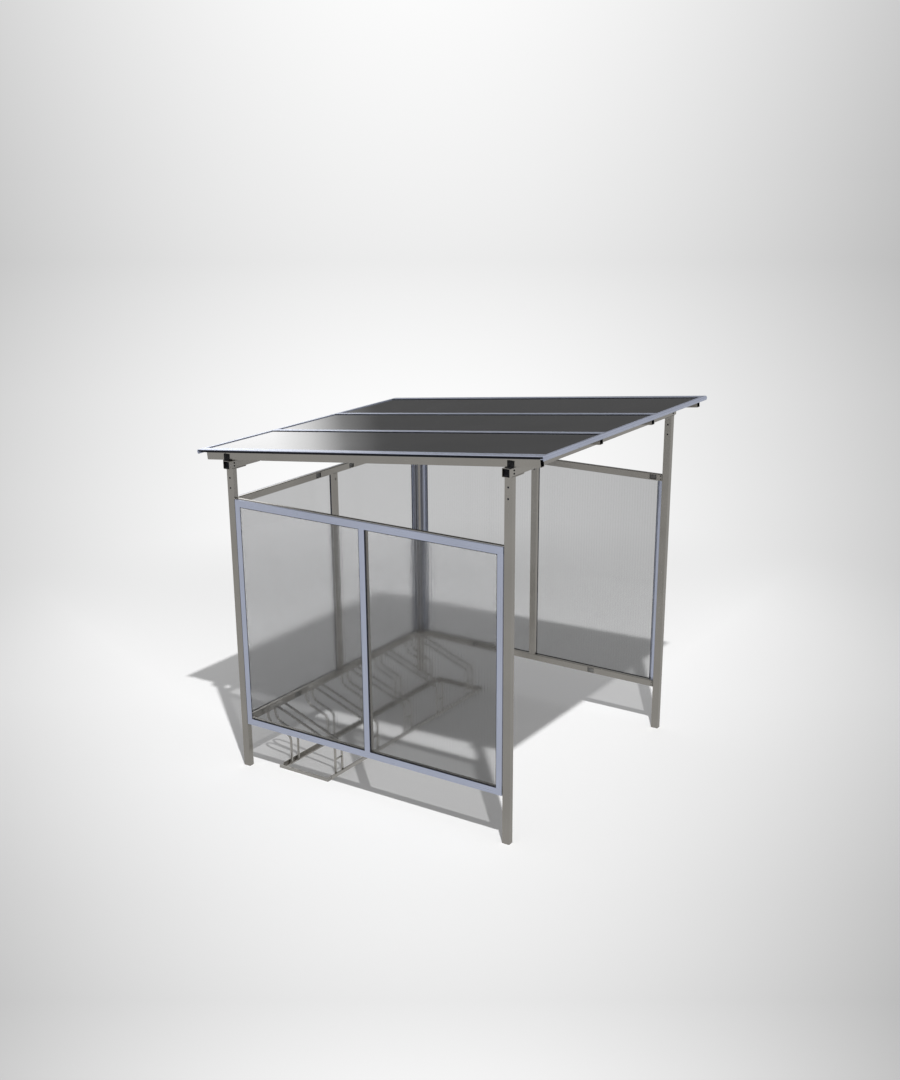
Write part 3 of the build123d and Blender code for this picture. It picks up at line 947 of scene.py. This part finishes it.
class SHELTER_OT_stage(bpy.types.Operator):
    """Set the pale floor, the studio light and the camera"""
    bl_idname = "shelter.stage"
    bl_label = "Set the stage"

    pool_spread = 0.943  # how fast the pool of light widens with distance

    def execute(self, context):
        scene = context.scene
        stage = scene.shelter_stage
        scene.view_settings.view_transform = "Standard"
        self.add_floor(scene, stage)
        self.add_lamp(scene, stage)
        self.add_world(scene, stage)
        self.add_camera(scene, stage)
        return {"FINISHED"}

    def add_floor(self, scene, stage):
        bm = bmesh.new()
        bmesh.ops.create_circle(bm, cap_ends=True, segments=96, radius=120)
        mesh = bpy.data.meshes.new("floor")
        bm.to_mesh(mesh)
        bm.free()
        mesh.materials.append(self.floor_finish(scene, stage))
        floor = bpy.data.objects.new("floor", mesh)
        scene.collection.objects.link(floor)

    def floor_finish(self, scene, stage):
        """A matt floor whose colour is a painted pool of light that takes its tone under the lamp; it glows
        in that tone far off and mirrors evenly.
        """
        palest, glow_start, glow_full = 0.97, 3.4, 6.0
        shader = Shader("pale_floor")
        path = shader.add("ShaderNodeLightPath")
        tone = self.painted_floor_light(shader, stage)
        lift = second_pane(shader, path, scene.shelter_finish.pane[1])
        lamp_far = shader.vector_math("DISTANCE", shader.coordinates(), stage.lamp_place)
        strength = stage.lamp_power * stage.lamp_place[2] / pi**2
        beam = shader.math("DIVIDE", strength, shader.math("POWER", lamp_far, 3.0))
        # Painted light: the colour is the painted pool divided by the lamp's and the fill's light, so their
        # fall-off is painted out.
        base = shader.math("DIVIDE", tone, shader.math("ADD", beam, stage.fill))
        base = shader.math("MINIMUM", shader.math("MULTIPLY", base, stage.floor), palest)
        shader.set(Roughness=0.9, Specular_IOR_Level=0.0, Base_Color=shader.math("MULTIPLY", base, lift))
        far = shader.spread(
            shader.vector_math("LENGTH", shader.coordinates()), 0.0, 1.0, start=glow_start, end=glow_full,
            interpolation_type="SMOOTHSTEP")
        glow = shader.coloured("ShaderNodeEmission", shader.math("MULTIPLY", tone, lift))
        glowing = shader.math("MULTIPLY", far, seen_rays(shader, path))
        seen = shader.mix_shader(glowing, shader.principled.outputs[0], glow)
        mirror = shader.coloured("ShaderNodeEmission", (*[stage.mirrored_floor] * 3, 1))
        glossy = shader.math("SUBTRACT", path.outputs["Is Glossy Ray"], path.outputs["Is Transmission Ray"])
        shader.show(shader.mix_shader(shader.math("MAXIMUM", glossy, 0.0), seen, mirror))
        return shader.owner

    def painted_floor_light(self, shader, stage):
        """The floor's painted light: a pool of light that fades to both sides, with a softer band further
        back.
        """
        nearest, pool_start, near_scale = 3.0, 1.314, 4.0
        stops = ((0.225, 0.83), (0.30, 0.757), (0.40, 0.825), (0.49, 0.91), (0.58, 0.99), (0.66, 1.0),
                 (0.74, 1.0), (0.814, 0.97), (0.85, 0.93), (0.886, 0.885), (0.913, 0.845), (0.967, 0.886))
        place = shader.add("ShaderNodeTexCoord")
        start = (stage.camera_place[0], stage.camera_place[1], 0)
        parts = shader.turned(place.outputs["Object"], start, stage.camera_yaw)
        ahead = shader.math("MAXIMUM", parts["Y"], nearest)
        reach = shader.math("ADD", shader.math("MULTIPLY", ahead, self.pool_spread), pool_start)
        side = side_fade(shader, shader.math("DIVIDE", parts["X"], reach))
        nearness = shader.math("SUBTRACT", 1.0, shader.math("DIVIDE", near_scale, ahead))
        return shader.math("MULTIPLY", side, shader.ramp(nearness, stops))

    def add_lamp(self, scene, stage):
        data = bpy.data.lights.new("studio_lamp", "AREA")
        data.shape = "DISK"
        data.size = stage.lamp_size
        data.energy = stage.lamp_power
        lamp = bpy.data.objects.new("studio_lamp", data)
        lamp.location = stage.lamp_place
        target = Vector((0, 0, 1.1))
        lamp.rotation_euler = (target - lamp.location).to_track_quat("-Z", "Y").to_euler()
        scene.collection.objects.link(lamp)

    def add_world(self, scene, stage):
        """Even fill light, a studio with a bright side in reflections, and a pale backdrop to look at."""
        bearings = ((-180, 0.50), (0, 0.55), (20, 1.95), (47.8, 1.95), (51.5, 0.13), (75, 0.13),
                    (100, 0.4), (180, 0.5))
        brightest, overhead = 2.0, 0.55
        overhead_start, overhead_full = sin(radians(14)), sin(radians(30))
        backdrop_low, backdrop_high, horizon_start, horizon_end = 0.886, 0.965, -0.033, 0.078
        least_ahead = 0.05
        shader = WorldShader("studio")
        scene.world = shader.owner
        path = shader.add("ShaderNodeLightPath")
        direction = shader.add("ShaderNodeTexCoord").outputs["Generated"]
        parts = shader.parts(direction)
        bearing = shader.math("ARCTAN2", parts["X"], parts["Y"])
        stops = [((degrees + 180) / 360, level / brightest) for degrees, level in bearings]
        ring = shader.ramp(shader.spread(bearing, 0.0, 1.0, start=-pi, end=pi), stops, "EASE")
        around = shader.math("MULTIPLY", ring, brightest)
        high = shader.spread(parts["Z"], 0.0, 1.0, overhead_start, overhead_full)
        studio = shader.blend(high, around, overhead)
        ahead = shader.turned(direction, (0, 0, 0), stage.camera_yaw)
        reach = shader.math("MULTIPLY", shader.math("MAXIMUM", ahead["Y"], least_ahead), self.pool_spread)
        side = side_fade(shader, shader.math("DIVIDE", ahead["X"], reach))
        rise = shader.spread(parts["Z"], backdrop_low, backdrop_high, horizon_start, horizon_end)
        lift = second_pane(shader, path, scene.shelter_finish.pane[1])
        backdrop = shader.math("MULTIPLY", shader.math("MULTIPLY", side, rise), lift)
        lit = shader.blend(path.outputs["Is Glossy Ray"], stage.fill, studio)
        shader.fill_named(shader.background, Color=shader.blend(seen_rays(shader, path), lit, backdrop))

    def add_camera(self, scene, stage):
        data = bpy.data.cameras.new("camera")
        data.sensor_width = 36
        data.lens = stage.camera_lens
        data.shift_x, data.shift_y = stage.camera_shift
        data.clip_end = 400
        camera = bpy.data.objects.new("camera", data)
        camera.location = stage.camera_place
        camera.rotation_euler = (pi / 2 + stage.camera_pitch, 0, -stage.camera_yaw)
        scene.collection.objects.link(camera)
        scene.camera = camera


OPERATORS = (
    SHELTER_OT_finishes, SHELTER_OT_end_plugs, SHELTER_OT_beam_screws, SHELTER_OT_gaskets,
    SHELTER_OT_roof_seals, SHELTER_OT_slot_covers, SHELTER_OT_rail_plates, SHELTER_OT_profile_screws,
    SHELTER_OT_rack, SHELTER_OT_stage)


class SHELTER_PT_panel(bpy.types.Panel):
    """The shelter's operators in the sidebar"""
    bl_idname = "SHELTER_PT_panel"
    bl_label = "Bike shelter"
    bl_space_type = "VIEW_3D"
    bl_region_type = "UI"
    bl_category = "Shelter"

    def draw(self, context):
        for operator in OPERATORS:
            self.layout.operator(operator.bl_idname)


GROUPS = {"shelter_finish": ShelterFinish, "shelter_sizes": ShelterSizes, "shelter_stage": ShelterStage}
CLASSES = (*GROUPS.values(), *OPERATORS, SHELTER_PT_panel)


def register():
    for cls in CLASSES:
        bpy.utils.register_class(cls)
    for name, group in GROUPS.items():
        setattr(bpy.types.Scene, name, bpy.props.PointerProperty(type=group))


def unregister():
    for name in GROUPS:
        delattr(bpy.types.Scene, name)
    for cls in reversed(CLASSES):
        bpy.utils.unregister_class(cls)


def main():
    register()
    bpy.ops.shelter.finishes()
    bpy.ops.shelter.end_plugs()
    bpy.ops.shelter.beam_screws()
    bpy.ops.shelter.gaskets()
    bpy.ops.shelter.roof_seals()
    bpy.ops.shelter.slot_covers()
    bpy.ops.shelter.rail_plates()
    bpy.ops.shelter.profile_screws()
    bpy.ops.shelter.rack()
    bpy.ops.shelter.stage()


if __name__ == "__main__":
    main()
